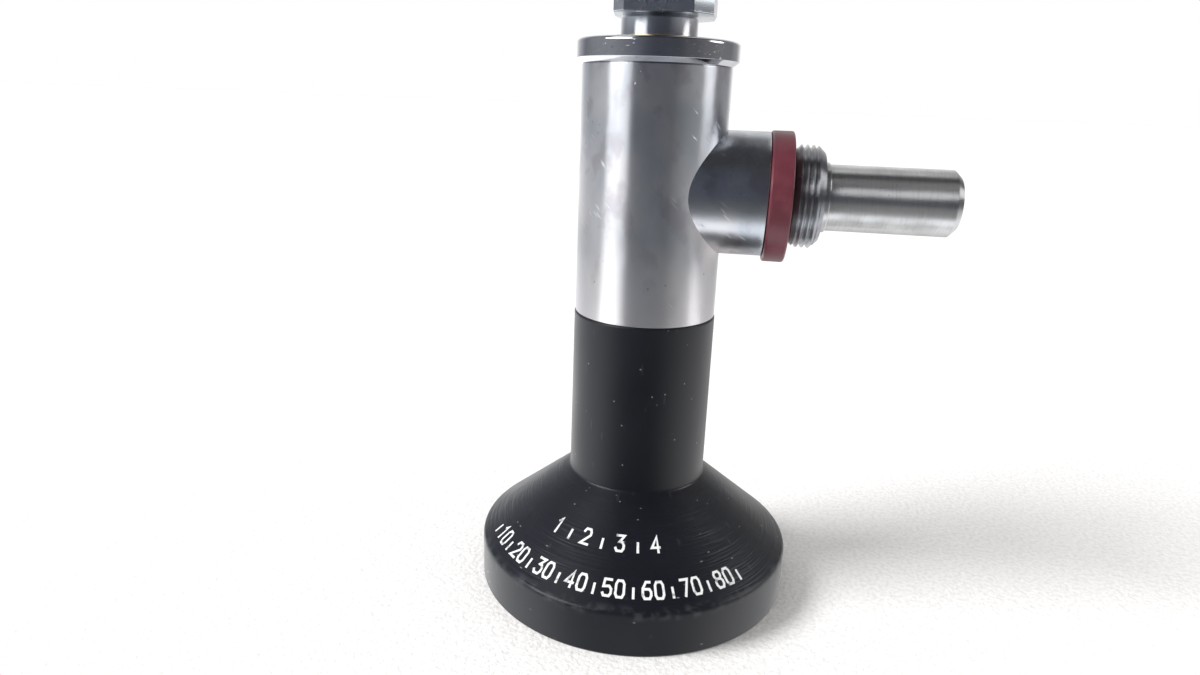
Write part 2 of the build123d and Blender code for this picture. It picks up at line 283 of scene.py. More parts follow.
def post_piece(name, outline, centre_z, material, nodes):
    """A piece turned about the light post."""
    outline = rounded(outline)
    points = about_post(outline[:, :1], outline[:, 1:], centre_z)
    return grid_piece(name, points, material, nodes)


# Materials


class Shader:
    """A material under construction, with short calls for the nodes that it needs."""

    def __init__(self, name):
        self.material = bpy.data.materials.new(name)
        self.material.use_nodes = True
        self.tree = self.material.node_tree
        self.main = self.tree.nodes["Principled BSDF"]
        self.place = self.tree.nodes.new("ShaderNodeTexCoord").outputs["Object"]

    def add(self, kind, inputs=(), **settings):
        node = self.tree.nodes.new(kind)
        for key, value in settings.items():
            setattr(node, key, value)
        for key, value in dict(inputs).items():
            self.put(node.inputs[key], value)
        return node

    def put(self, socket, value):
        if isinstance(value, bpy.types.NodeSocket):
            self.tree.links.new(value, socket)
        else:
            socket.default_value = value

    def set(self, **inputs):
        for key, value in inputs.items():
            self.put(self.main.inputs[key.replace("_", " ")], value)

    def maths(self, operation, first, second=0.0, clamp=False):
        node = self.add("ShaderNodeMath", operation=operation, use_clamp=clamp)
        self.put(node.inputs[0], first)
        self.put(node.inputs[1], second)
        return node.outputs[0]

    def times(self, first, second):
        return self.maths("MULTIPLY", first, second)

    def span(self, value, low, high, start=0.0, end=1.0):
        node = self.add("ShaderNodeMapRange", {0: value, 1: low, 2: high, 3: start, 4: end})
        return node.outputs[0]

    def noise(self, scale, detail=3.0, stretch=(1, 1, 1), place=None):
        mapped = self.add("ShaderNodeMapping", {"Vector": place or self.place, "Scale": stretch})
        inputs = {"Vector": mapped.outputs[0], "Scale": scale / MM, "Detail": detail}
        return self.add("ShaderNodeTexNoise", inputs).outputs["Fac"]

    def spots(self, place, scale, size, stretch=(1, 1, 1)):
        """Small spots on an unrolled surface, 1 at their middle, over cells of the given scale."""
        mapped = self.add("ShaderNodeMapping", {"Vector": place, "Scale": stretch})
        inputs = {"Vector": mapped.outputs[0], "Scale": scale / MM}
        cells = self.add("ShaderNodeTexVoronoi", inputs, voronoi_dimensions="2D")
        return self.span(cells.outputs["Distance"], size, size * 0.35)

    def some(self, scale, low, high):
        """Patches where marks are found."""
        return self.span(self.noise(scale, 2), low, high)

    def blend(self, share, first, second):
        node = self.add("ShaderNodeMix", data_type="RGBA")
        self.put(node.inputs[0], share)
        self.put(node.inputs[6], first)
        self.put(node.inputs[7], second)
        return node.outputs[2]

    def bump(self, height, distance, strength=1.0):
        inputs = {"Height": height, "Distance": distance, "Strength": strength}
        if self.main.inputs["Normal"].is_linked:
            inputs["Normal"] = self.main.inputs["Normal"].links[0].from_socket
        node = self.add("ShaderNodeBump", inputs)
        self.put(self.main.inputs["Normal"], node.outputs[0])

    def round_place(self, along_post=False):
        """Place as (distance from the axis, turn round it, way along it)."""
        parts = self.add("ShaderNodeSeparateXYZ", {0: self.place}).outputs
        along, one, other = parts[2], parts[0], parts[1]
        if along_post:
            along, one = parts[0], self.maths("SUBTRACT", parts[2], post_z)
        squares = self.maths("ADD", self.maths("POWER", one, 2.0), self.maths("POWER", other, 2.0))
        radius = self.maths("SQRT", squares)
        turn = self.maths("ARCTAN2", other, one)
        return radius, turn, along

    def brushed(self, stretch, along_post=False, smear_round=False):
        """Highlights drawn out along the axis, as on a turned surface, or round it."""
        axis = "X" if along_post else "Z"
        tangent = self.add("ShaderNodeTangent", direction_type="RADIAL", axis=axis)
        self.set(Tangent=tangent.outputs[0])
        self.main.inputs["Anisotropic"].default_value = stretch
        self.main.inputs["Anisotropic Rotation"].default_value = 0.0 if smear_round else 0.25

    def joined(self, x, y, z):
        return self.add("ShaderNodeCombineXYZ", {0: x, 1: y, 2: z}).outputs[0]


def grey(value, tint=(1, 1, 1)):
    return (value * tint[0], value * tint[1], value * tint[2], 1)


# Tints of the metals
COOL = (0.95, 1.0, 1.07)
WARM = (1.02, 0.99, 1.0)
VIOLET = (1.03, 0.94, 1.05)


def black_shell():
    """Satin black coating over a turned surface, scuffed at the shoulder and flecked with dust."""
    s = Shader("black_satin")
    radius, turn, height = s.round_place()
    wide = s.noise(0.12, 4)
    fine = s.noise(2.6, 3)
    lathe = s.joined(s.times(radius, 3.8), s.times(turn, 0.0016), height)
    rings = s.noise(1.1, 2, place=lathe)
    off_sleeve = s.span(radius, sleeve_radius + 0.35 * MM, sleeve_radius + 0.85 * MM)
    above_rim = s.span(height, cup_rim_height - 0.22 * MM, cup_rim_height + 0.18 * MM)
    cone_share = s.times(off_sleeve, above_rim)
    ring_height = s.times(s.times(rings, cone_share), s.span(wide, 0.38, 0.56, 0.1, 1.0))
    s.bump(ring_height, 0.085 * MM)
    s.bump(fine, 0.004 * MM)
    near_rim = s.span(radius, cup_radius - 0.7 * MM, cup_radius - 0.25 * MM)
    near_top = s.span(height, cup_rim_height - 0.82 * MM, cup_rim_height - 0.32 * MM)
    scuff = s.times(s.times(near_rim, near_top), s.span(s.noise(0.9, 5), 0.48, 0.66))
    upward = s.maths("SUBTRACT", height, radius)
    unrolled = s.joined(s.times(turn, sleeve_radius), upward, 0.0)
    flecks = s.times(s.spots(unrolled, 0.55, 0.055), s.some(0.3, 0.55, 0.60))
    scratches = s.spots(unrolled, 0.8, 0.09, stretch=(1, 0.16, 1))
    scratches = s.times(scratches, s.some(0.4, 0.50, 0.56))
    dark, darker = (0.0066, 0.0079, 0.0130, 1), (0.0046, 0.0056, 0.0096, 1)
    colour = s.blend(s.span(wide, 0.35, 0.65), darker, dark)
    colour = s.blend(s.times(scratches, 0.16), colour, (0.10, 0.10, 0.11, 1))
    colour = s.blend(s.times(scuff, 0.42), colour, (0.075, 0.078, 0.085, 1))
    colour = s.blend(s.times(flecks, 0.75), colour, (0.28, 0.28, 0.29, 1))
    rough = s.span(wide, 0.3, 0.7, 0.35, 0.43)
    rough = s.maths("ADD", rough, s.times(scuff, 0.12))
    s.set(Base_Color=colour, Roughness=rough, IOR=1.45)
    return s.material


def satin_steel(name, tone, rough, along_post=False, stretch=0.0, smear_round=False, rougher_low_and_painted_reflection=0.0):
    """Satin steel with fine turning lines, faint handling marks and a few pits.

    The last argument is how much rougher the metal grows towards the shell; where it is set, the metal
    there is also painted lighter, a painted reflection of the bright floor.
    """
    s = Shader(name)
    radius, turn, along = s.round_place(along_post)
    wide = s.noise(0.16, 4)
    lathe = s.joined(s.times(along, 4.0), s.times(turn, 0.0007), radius)
    lines = s.noise(3.0, 2, place=lathe)
    s.bump(lines, 0.0022 * MM)
    cloud = s.noise(0.20, 4, stretch=(1, 1, 0.6))
    stain = s.span(s.noise(0.42, 4, stretch=(1, 1, 0.7)), 0.55, 0.65)
    unrolled = s.joined(s.times(turn, body_radius), along, 0.0)
    pits = s.times(s.spots(unrolled, 0.5, 0.065), s.some(0.3, 0.61, 0.65))
    slant = s.add("ShaderNodeMapping", {"Vector": unrolled, "Rotation": (0, 0, 0.7)}).outputs[0]
    scratch = s.spots(slant, 0.22, 0.12, stretch=(1, 9, 1))
    scratch = s.times(scratch, s.some(0.25, 0.57, 0.62))
    s.bump(s.maths("ADD", pits, scratch), -0.010 * MM)
    s.bump(s.noise(0.22, 3), 0.05 * MM)
    colour = s.blend(s.span(wide, 0.35, 0.65), grey(tone, COOL), grey(tone * 1.04, WARM))
    colour = s.blend(s.span(cloud, 0.42, 0.62), colour, grey(tone * 0.82, COOL))
    colour = s.blend(s.times(stain, 0.50), colour, grey(tone * 0.60, VIOLET))
    # Painted reflection: towards the shell the colour is painted lighter, standing in for the bright
    # floor seen in the metal
    if rougher_low_and_painted_reflection:
        painted_reflection_share = s.span(along, shell_top, shell_top + painted_reflection_reach, 0.9, 0.0)
        colour = s.blend(painted_reflection_share, colour, grey(0.93, WARM))
    colour = s.blend(s.times(pits, 0.5), colour, grey(tone * 0.4))
    colour = s.blend(s.times(scratch, 0.35), colour, grey(0.95))
    shine = s.span(wide, 0.3, 0.7, rough - 0.02, rough + 0.03)
    if rougher_low_and_painted_reflection:
        low_end = s.span(along, shell_top, shell_top + duller_reach, rougher_low_and_painted_reflection, 0.0)
        shine = s.maths("ADD", shine, low_end)
    s.set(Base_Color=colour, Metallic=1.0, Roughness=shine)
    s.brushed(stretch, along_post, smear_round)
    return s.material


def polished(name, tone, rough, tint=(1, 1, 1), along_post=False, line_depth=0.0, stretch=0.0):
    """Polished metal with polishing haze, hairlines and, on the post, lines round it."""
    s = Shader(name)
    radius, turn, along = s.round_place(along_post)
    haze = s.span(s.noise(0.55, 5), 0.35, 0.7)
    lathe = s.joined(s.times(along, 2.6), s.times(turn, 0.0009), radius)
    lines = s.noise(2.2, 4, place=lathe)
    if line_depth:
        s.bump(lines, line_depth)
    hair = s.span(s.noise(1.6, 2, stretch=(1, 1, 7)), 0.68, 0.75)
    s.bump(hair, -0.003 * MM)
    unrolled = s.joined(s.times(turn, neck_radius), along, 0.0)
    specks = s.times(s.spots(unrolled, 0.7, 0.07), s.some(0.4, 0.53, 0.58))
    colour = s.blend(haze, grey(tone, tint), grey(tone * 0.88, tint))
    if line_depth:
        colour = s.blend(s.span(lines, 0.52, 0.70, 0.0, 0.35), colour, grey(tone * 0.62, tint))
    colour = s.blend(s.times(specks, 0.5), colour, grey(tone * 0.4))
    shine = s.span(haze, 0.0, 1.0, rough * 0.85, rough * 1.2)
    s.set(Base_Color=colour, Metallic=1.0, Roughness=shine)
    if stretch:
        s.brushed(stretch, along_post)
    return s.material


def maroon_plastic():
    """Dull maroon plastic, slightly paler where it is handled."""
    s = Shader("maroon_plastic")
    worn = s.span(s.noise(0.5, 5), 0.42, 0.7)
    s.bump(s.noise(3.0, 3), 0.003 * MM)
    colour = s.blend(worn, (0.122, 0.024, 0.037, 1), (0.165, 0.036, 0.051, 1))
    s.set(Base_Color=colour, Roughness=s.span(worn, 0.0, 1.0, 0.34, 0.46), IOR=1.5)
    return s.material


def braze_gold():
    s = Shader("braze")
    lump = s.noise(0.8, 4)
    s.bump(lump, 0.03 * MM)
    colour = s.blend(lump, (0.70, 0.50, 0.26, 1), (0.52, 0.40, 0.27, 1))
    s.set(Base_Color=colour, Metallic=1.0, Roughness=0.3)
    return s.material


def white_fill():
    """White paint of the scale, thin in places."""
    s = Shader("scale_paint")
    thin = s.span(s.noise(1.5, 4), 0.57, 0.68)
    colour = s.blend(s.times(thin, 0.65), (0.80, 0.81, 0.82, 1), (0.10, 0.10, 0.11, 1))
    s.set(Base_Color=colour, Roughness=s.span(thin, 0.0, 1.0, 0.55, 0.4))
    return s.material


def optical_glass():
    """Coated optical glass, faintly mottled by dust."""
    s = Shader("optical_glass")
    dust = s.span(s.noise(1.2, 4), 0.6, 0.8)
    colour = s.blend(dust, (0.03, 0.035, 0.05, 1), grey(0.3))
    s.set(Base_Color=colour, Roughness=s.span(dust, 0, 1, 0.03, 0.25))
    s.main.inputs["Coat Weight"].default_value = 0.6
    s.main.inputs["IOR"].default_value = 1.7
    return s.material


def fibre_ends():
    """Polished fibre ends: pale dots packed in darker resin."""
    s = Shader("fibre_ends")
    cells = s.add("ShaderNodeTexVoronoi", {"Vector": s.place, "Scale": 14 / MM})
    dots = s.span(cells.outputs["Distance"], 0.25, 0.5)
    colour = s.blend(dots, (0.62, 0.58, 0.46, 1), (0.16, 0.14, 0.10, 1))
    s.set(Base_Color=colour, Roughness=s.span(dots, 0, 1, 0.1, 0.4))
    return s.material


def soft_seal():
    s = Shader("seal_rubber")
    grain = s.noise(2.0, 4)
    s.bump(grain, 0.01 * MM)
    s.set(Base_Color=s.blend(grain, grey(0.02), grey(0.05)), Roughness=0.7)
    return s.material


def anodised():
    s = Shader("dark_anodised")
    radius, turn, along = s.round_place()
    lathe = s.joined(s.times(radius, 4.0), s.times(turn, 0.001), along)
    s.bump(s.noise(2.0, 3, place=lathe), 0.006 * MM)
    s.set(Base_Color=s.blend(s.noise(0.5, 3), grey(0.03), grey(0.05)), Roughness=0.4, Metallic=0.6)
    return s.material


# Pieces


def eyepiece_shell(material):
    """Cup, cone and sleeve, with the dished eye side and its steps inside."""
    run = dish_radius - dish_floor_radius
    depth = window_ring_low.z
    chord = math.hypot(run, depth)
    bowl = []
    bowl_steps = 16
    for step in range(1, bowl_steps):
        share = step / bowl_steps
        lift = dish_bulge * 4 * share * (1 - share)
        bowl.append((
            dish_radius - run * share + lift * depth / chord,
            depth * share + lift * run / chord,
        ))
    outline = [
        (dish_radius, 0, dish_edge),
        (cup_radius, 0, foot_edge),
        (cup_radius, cup_rim_height, rim_edge),
        (sleeve_radius, cone_top, cone_root),
        (sleeve_radius, shell_top, sleeve_edge),
        (socket_radius, shell_top),
        (socket_radius, gasket_low.z),
        (barrel_bore, gasket_low.z),
        (barrel_bore, barrel_low.z),
        (shell_lip_radius, barrel_low.z),
        (shell_lip_radius, barrel_low.z - shell_lip_width),
        (window_seat_radius, barrel_low.z - shell_lip_width),
        (window_seat_radius, window_ring_low.z),
        (dish_floor_radius, window_ring_low.z),
    ]
    outline += bowl[::-1]
    return turned_piece("eyepiece_shell_skin", outline, material, ["eyepiece_shell"])


def main_body(material):
    """The tube, with rings of vertices along it so that the side hole stays clean."""
    rings = 48
    length = body_high.z - shell_top
    outline = [
        (body_bore, body_low.z),
        (socket_radius - fit_gap, body_low.z),
        (socket_radius - fit_gap, shell_top),
        (body_radius, shell_top, body_edge),
    ]
    outline += [(body_radius, shell_top + length * step / rings) for step in range(1, rings)]
    outline += [(body_radius, body_high.z, body_edge), (body_bore, body_high.z)]
    piece = turned_piece("main_body_skin", outline, material, ["main_body"])
    core, hole = 0.001 * MM, boss_spigot_radius + fit_gap
    drill_outline = [(core, 0), (hole, 0), (hole, boss_face_x), (core, boss_face_x)]
    drill = post_piece("side_hole_drill", drill_outline, post_z, material, [])
    cut = piece.modifiers.new("side_hole", "BOOLEAN")
    cut.object = drill
    cut.operation = "DIFFERENCE"
    graph = bpy.context.evaluated_depsgraph_get()
    holed = bpy.data.meshes.new_from_object(piece.evaluated_get(graph))
    piece.modifiers.clear()
    piece.data = holed
    piece.data.name = "main_body_skin"
    bpy.data.objects.remove(drill)
    return piece


def on_round(radius, wall_radius):
    """Way along the post where a circle of that radius meets an upright tube."""
    return np.sqrt(wall_radius ** 2 - (radius * np.cos(angles())) ** 2)


def light_post_boss(material):
    """The boss, cut to the round of the body, with its spigot and the neck for the ring."""
    rows = []

    def row(radius, place):
        rows.append(about_post(radius, place, post_z))

    row(boss_bore, on_round(boss_bore, body_bore))
    row(boss_spigot_radius, on_round(boss_spigot_radius, body_bore))
    row(boss_spigot_radius, on_round(boss_spigot_radius, body_radius))
    foot = on_round(boss_radius, body_radius)
    row(boss_radius, foot)
    lengths = 12
    for step in range(1, lengths + 1):
        row(boss_radius, foot + (boss_face_x - boss_edge - foot) * step / lengths)
    for step in range(1, ARC_STEPS + 1):
        turn = math.pi / 2 * step / ARC_STEPS
        inset = boss_edge * (1 - math.cos(turn))
        row(boss_radius - inset, boss_face_x - boss_edge * (1 - math.sin(turn)))
    row(boss_neck_radius, boss_face_x)
    row(boss_neck_radius, boss_high.x)
    row(boss_bore, boss_high.x)
    rows = np.array(rows)
    return grid_piece("light_post_boss_skin", rows, material, ["light_post_boss"])


def colour_ring(material):
    outline = [
        (ring_bore, ring_low.x, ring_bore_edge),
        (ring_radius, ring_low.x, ring_edge),
        (ring_radius, ring_high.x, ring_edge),
        (ring_bore, ring_high.x, ring_bore_edge),
    ]
    nodes = ["colour_ring"]
    return post_piece("colour_ring_skin", outline, ring_z, material, nodes)


def light_post_adapter(material):
    """The threaded ring: a helical thread that runs out in a chamfer at each end."""
    turn = angles()
    rows = []
    low, high = adapter_low.x, adapter_high.x
    for place in np.linspace(low, high, thread_rows):
        phase = (place / thread_pitch + turn / (2 * math.pi)) % 1.0
        slope = np.clip((1 - np.abs(2 * phase - 1) - thread_land) / (1 - 2 * thread_land), 0, 1)
        radius = adapter_radius - thread_depth * slope
        cut = max(0.0, near_chamfer - (place - low), end_chamfer - (high - place))
        radius = np.minimum(radius, adapter_radius - cut)
        rows.append(about_post(radius, place, post_z))
    rows.append(about_post(boss_bore, high, post_z))
    rows.append(about_post(boss_bore, low, post_z))
    rows = np.array(rows)
    nodes = ["light_post_adapter"]
    return grid_piece("light_post_adapter_skin", rows, material, nodes)


def light_post_spigot(material):
    shoulder_end = adapter_high.x + tip_shoulder_width
    outline = [
        (tip_bore, tip_low.x),
        (boss_bore - fit_gap, tip_low.x),
        (boss_bore - fit_gap, adapter_high.x),
        (tip_shoulder_radius, adapter_high.x),
        (tip_shoulder_radius, shoulder_end, tip_shoulder_edge),
        (tip_radius, shoulder_end, tip_root),
        (tip_radius, tip_high.x - tip_chamfer, tip_edge),
        (tip_radius - tip_chamfer, tip_high.x, tip_end_edge),
        (tip_bore, tip_high.x, tip_mouth_edge),
    ]
    nodes = ["light_post_spigot"]
    return post_piece("light_post_spigot_skin", outline, post_z, material, nodes)


def collar_ring(material):
    outline = [
        (collar_bore, collar_low.z),
        (body_bore - fit_gap, collar_low.z),
        (body_bore - fit_gap, body_high.z),
        (body_radius - body_edge, body_high.z),
        (collar_radius, body_high.z + collar_bevel_height, collar_foot_edge),
        (collar_radius, collar_high.z, collar_edge),
        (collar_bore, collar_high.z),
    ]
    return turned_piece("collar_ring_skin", outline, material, ["collar_ring"])


def neck_braze(material):
    """A concave fillet of braze metal between the neck and the collar."""
    steps = 6
    outline = [(neck_radius - braze_root, collar_high.z - braze_root)]
    for step in range(steps + 1):
        turn = math.pi / 2 * step / steps
        outline.append((
            neck_radius + braze_size * (1 - math.sin(turn)),
            collar_high.z + braze_size * (1 - math.cos(turn)),
        ))
    return turned_piece("neck_braze_skin", outline, material, ["neck_braze"])


def plate_corners():
    """The keyed plate's outline seen from above, with facets at its corners."""
    left = [
        (-plate_left, 0),
        (-plate_front_left - plate_left_facet, plate_left_facet - plate_half_depth),
        (-plate_front_left, -plate_half_depth),
    ]
    right = [
        (plate_front_right, -plate_half_depth),
        (plate_front_right + plate_right_facet, plate_right_facet - plate_half_depth),
        (plate_right, 0),
    ]
    front = left + right
    return front + [(x, -y) for x, y in reversed(front[1:-1])]


def plate_ring(inset, height):
    """The plate's outline moved inwards by the inset, at one height."""
    corners = [Vector(corner) for corner in plate_corners()]
    points = []
    for number, corner in enumerate(corners):
        before = (corner - corners[number - 1]).normalized()
        after = (corners[(number + 1) % len(corners)] - corner).normalized()
        normal_before, normal_after = Vector((-before.y, before.x)), Vector((-after.y, after.x))
        middle = (normal_before + normal_after).normalized()
        shift = inset / max(0.3, middle.dot(normal_after))
        points.append((corner.x + middle.x * shift, corner.y + middle.y * shift, height))
    return points


def lock_plate():
    """Vertices and faces of the plate, with eased edges above and below."""
    rings = []
    ease = 4
    for step in range(ease + 1):
        turn = math.pi / 2 * step / ease
        inset = plate_edge * (1 - math.sin(turn))
        rings.append(plate_ring(inset, plate_bottom + plate_edge * (1 - math.cos(turn))))
    for step in range(ease + 1):
        turn = math.pi / 2 * step / ease
        inset = plate_edge * (1 - math.cos(turn))
        rings.append(plate_ring(inset, plate_top - plate_edge * (1 - math.sin(turn))))
    count = len(rings[0])
    vertices = [point for ring in rings for point in ring]
    faces = []
    for level in range(len(rings) - 1):
        for number in range(count):
            after = (number + 1) % count
            base = level * count
            faces.append((base + number, base + after, base + count + after, base + count + number))
    faces.append(tuple(range(count)))
    faces.append(tuple(range(len(vertices) - count, len(vertices))))
    return vertices, faces


def lock_fitting(turned, milled):
    """Neck and ferrule turned in one, and the keyed plate between them."""
    outline = rounded([
        (shaft_root_radius + fit_gap, lock_low.z),
        (collar_bore - fit_gap, lock_low.z),
        (collar_bore - fit_gap, collar_high.z),
        (neck_radius, collar_high.z),
        (neck_radius, plate_bottom - neck_undercut, neck_edge),
        (neck_radius - neck_undercut, plate_bottom),
        (neck_radius - neck_undercut, plate_bottom + plate_cover),
        (taper_base_radius, plate_top - plate_cover),
        (taper_base_radius, plate_top + taper_land, taper_shoulder),
        (taper_top_radius, lock_high.z, taper_edge),
        (shaft_root_radius + fit_gap, lock_high.z),
    ])
    core = about_axis(outline[:, :1], outline[:, 1:])
    vertices, faces = lock_plate()
    offset = len(vertices)
    vertices += core.reshape(-1, 3).tolist()
    plate_faces = len(faces)
    faces += (wrapped_faces(*core.shape[:2]) + offset).tolist()
    nodes = ["lock_fitting"]
    piece = finish_piece("lock_fitting_skin", vertices, faces, turned, nodes)
    piece.data.materials.append(milled)
    for number in range(plate_faces):
        piece.data.polygons[number].material_index = 1
    return piece


def outer_tube(material):
    """The shaft, whose tip is cut square to the viewing direction, with eased edges there."""
    tip = shaft_high.z - shaft_radius * view_slope
    length = tip - tip_rows_start - lock_high.z
    outline = [
        (shaft_bore, shaft_low.z, 0),
        (shaft_root_radius, shaft_low.z, 0),
        (shaft_root_radius, lock_high.z, 0),
        (shaft_radius, lock_high.z, 0),
    ]
    spans = 40
    for step in range(1, spans):
        outline.append((shaft_radius, lock_high.z + length * step / spans, 0))
    outline += [
        (shaft_radius, tip - shaft_edge, 1),
        (shaft_radius - shaft_edge, tip, 1),
        (shaft_bore, tip, 1),
    ]
    outline = np.array(outline)
    points = about_axis(outline[:, :1], outline[:, 1:2])
    points[..., 2] += outline[:, 2:] * points[..., 0] * view_slope
    return grid_piece("outer_tube_skin", points, material, ["outer_tube"])


# Plain digits, each as one stroke in a box one wide and one high
DIGITS = {
    "0": [(0.2, 0), (0.8, 0), (1, 0.2), (1, 0.8), (0.8, 1), (0.2, 1), (0, 0.8), (0, 0.2), (0.2, 0)],
    "1": [(0.2, 0.78), (0.55, 1), (0.55, 0)],
    "2": [(0, 0.8), (0.2, 1), (0.8, 1), (1, 0.8), (1, 0.62), (0, 0), (1, 0)],
    "3": [(0, 1), (1, 1), (0.45, 0.6), (0.8, 0.58), (1, 0.4), (1, 0.18), (0.8, 0), (0.2, 0), (0, 0.18)],
    "4": [(0.75, 0), (0.75, 1), (0, 0.3), (1, 0.3)],
    "5": [
        (0.95, 1), (0.05, 1), (0, 0.55), (0.7, 0.6), (1, 0.42),
        (1, 0.18), (0.8, 0), (0.15, 0), (0, 0.15),
    ],
    "6": [
        (0.9, 1), (0.4, 1), (0, 0.6), (0, 0.2), (0.2, 0),
        (0.8, 0), (1, 0.2), (1, 0.4), (0.8, 0.57), (0.05, 0.57),
    ],
    "7": [(0, 1), (1, 1), (0.35, 0)],
    "8": [
        (0.2, 0), (0.8, 0), (1, 0.2), (1, 0.4), (0.78, 0.55), (0.22, 0.55),
        (0.03, 0.72), (0.03, 0.85), (0.2, 1), (0.8, 1), (0.97, 0.85), (0.97, 0.72),
        (0.78, 0.55), (0.22, 0.55), (0, 0.4), (0, 0.2), (0.2, 0),
    ],
}


def on_cone(base_radius, turn, along, up, rise):
    """A point on the cone, from a way along the arc and up the slope, lifted off it by rise."""
    radius = base_radius - up * math.cos(cone_slope)
    height = cup_rim_height + (cup_radius - radius) * math.tan(cone_slope)
    radius += rise * math.sin(cone_slope)
    height += rise * math.cos(cone_slope)
    angle = turn + along / base_radius
    return (radius * math.cos(angle), radius * math.sin(angle), height)


def stroke(path, base_radius, turn):
    """A closed raised line along a path of (along, up) points, mitred at its corners."""
    path = [Vector(point) for point in path]
    closed = (path[0] - path[-1]).length < 1e-9
    if closed:
        path = path[:-1]
    sides = []
    for number, point in enumerate(path):
        before = path[number - 1] if closed or number else None
        after = path[(number + 1) % len(path)] if closed or number + 1 < len(path) else None
        ways = []
        if before is not None:
            ways.append((point - before).normalized())
        if after is not None:
            ways.append((after - point).normalized())
        normals = [Vector((-way.y, way.x)) for way in ways]
        middle = sum(normals, Vector((0, 0))).normalized()
        half = stroke_width / 2 / max(0.5, middle.dot(normals[0]))
        end = Vector((0, 0))
        if not closed and number == 0:
            end = ways[0] * -stroke_width / 3
        if not closed and number + 1 == len(path):
            end = ways[0] * stroke_width / 3
        sides.append((point + middle * half + end, point - middle * half + end))
    vertices = []
    for left, right in sides:
        for flank in (left, right):
            vertices.append(on_cone(base_radius, turn, flank.x, flank.y, stroke_rise))
        for flank in (right, left):
            vertices.append(on_cone(base_radius, turn, flank.x, flank.y, -stroke_root))
    faces = []
    count = len(sides)
    for number in range(count if closed else count - 1):
        here, there = 4 * number, 4 * ((number + 1) % count)
        for edge in range(4):
            turned = (edge + 1) % 4
            faces.append((here + edge, here + turned, there + turned, there + edge))
    if not closed:
        faces.append((0, 1, 2, 3))
        last = 4 * (count - 1)
        faces.append((last, last + 1, last + 2, last + 3))
    return vertices, faces


def scale_strokes(labels, base_radius, ticks):
    """Strokes of one arc: numbers centred at their angles, and ticks."""
    strokes = []
    for label, degrees in labels:
        width = len(label) * digit_width + (len(label) - 1) * digit_gap
        start = -width / 2
        for digit in label:
            placed = [(start + x * digit_width, y * digit_height) for x, y in DIGITS[digit]]
            strokes.append((placed, base_radius, math.radians(degrees)))
            start += digit_width + digit_gap
    for degrees in ticks:
        strokes.append(([(0, 0), (0, tick_height)], base_radius, math.radians(degrees)))
    return strokes


def scale_marks(material):
    """A plain scale on the cone: tens on the outer arc, single numbers on the inner one."""
    outer_step = 14.5
    outer_start = -163.5
    outer_labels = [(f"{number}0", outer_start + outer_step * number) for number in range(1, 9)]
    outer_ticks = [outer_start + outer_step * (number + 0.5) for number in range(0, 9)]
    inner_step = 17.5
    inner_start = -126.0
    inner_labels = [(str(number + 1), inner_start + inner_step * number) for number in range(4)]
    inner_ticks = [inner_start + inner_step * (number + 0.5) for number in range(3)]
    strokes = scale_strokes(outer_labels, outer_scale_radius, outer_ticks)
    strokes += scale_strokes(inner_labels, inner_scale_radius, inner_ticks)
    vertices, faces = [], []
    for path, base_radius, turn in strokes:
        more_vertices, more_faces = stroke(path, base_radius, turn)
        faces += [tuple(corner + len(vertices) for corner in face) for face in more_faces]
        vertices += more_vertices
    return finish_piece("orientation_scale", vertices, faces, material, [])


def dress_inner_nodes(materials):
    """Materials for the CAD nodes that stay: glass, fibres, seals and inner metal."""
    by_name = {
        "window": materials["glass"],
        "lens": materials["glass"],
        "prism": materials["glass"],
        "bundle": materials["fibre"],
        "gasket": materials["seal"],
        "window_ring": materials["window_ring"],
    }
    for name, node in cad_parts.items():
        material = materials["inner"]
        for word, choice in by_name.items():
            if word in name:
                material = choice
        node.data.materials.clear()
        node.data.materials.append(material)


# Stage: floor, light and camera


def floor():
    """A wide pale sheet with a fine leathery grain."""
    half = 8.0
    mesh = bpy.data.meshes.new("floor")
    corners = [(-half, -half, 0), (half, -half, 0), (half, half, 0), (-half, half, 0)]
    mesh.from_pydata(corners, [], [(0, 1, 2, 3)])
    s = Shader("floor_cloth")
    grain = s.noise(2.2, 3)
    wrinkle = s.noise(0.7, 4, stretch=(1, 1.4, 1))
    s.bump(grain, 0.14 * MM, 0.9)
    s.bump(wrinkle, 0.20 * MM, 0.6)
    grooves = s.span(grain, 0.36, 0.58)
    colour = s.blend(grooves, (0.80, 0.785, 0.775, 1), (0.885, 0.88, 0.875, 1))
    s.set(Base_Color=colour, Roughness=0.9)
    s.main.inputs["Specular IOR Level"].default_value = 0.2
    mesh.materials.append(s.material)
    sheet = bpy.data.objects.new("floor", mesh)
    bpy.context.scene.collection.objects.link(sheet)
    sheet.visible_glossy = False


def key_sun():
    """Soft light from the front left."""
    light = bpy.data.lights.new("key", "SUN")
    light.energy = 3.1
    light.angle = math.radians(24)
    lamp = bpy.data.objects.new("key", light)
    lamp.rotation_euler = Vector((-0.62, -0.22, 0.60)).to_track_quat("Z", "Y").to_euler()
    lamp.visible_glossy = False
    bpy.context.scene.collection.objects.link(lamp)


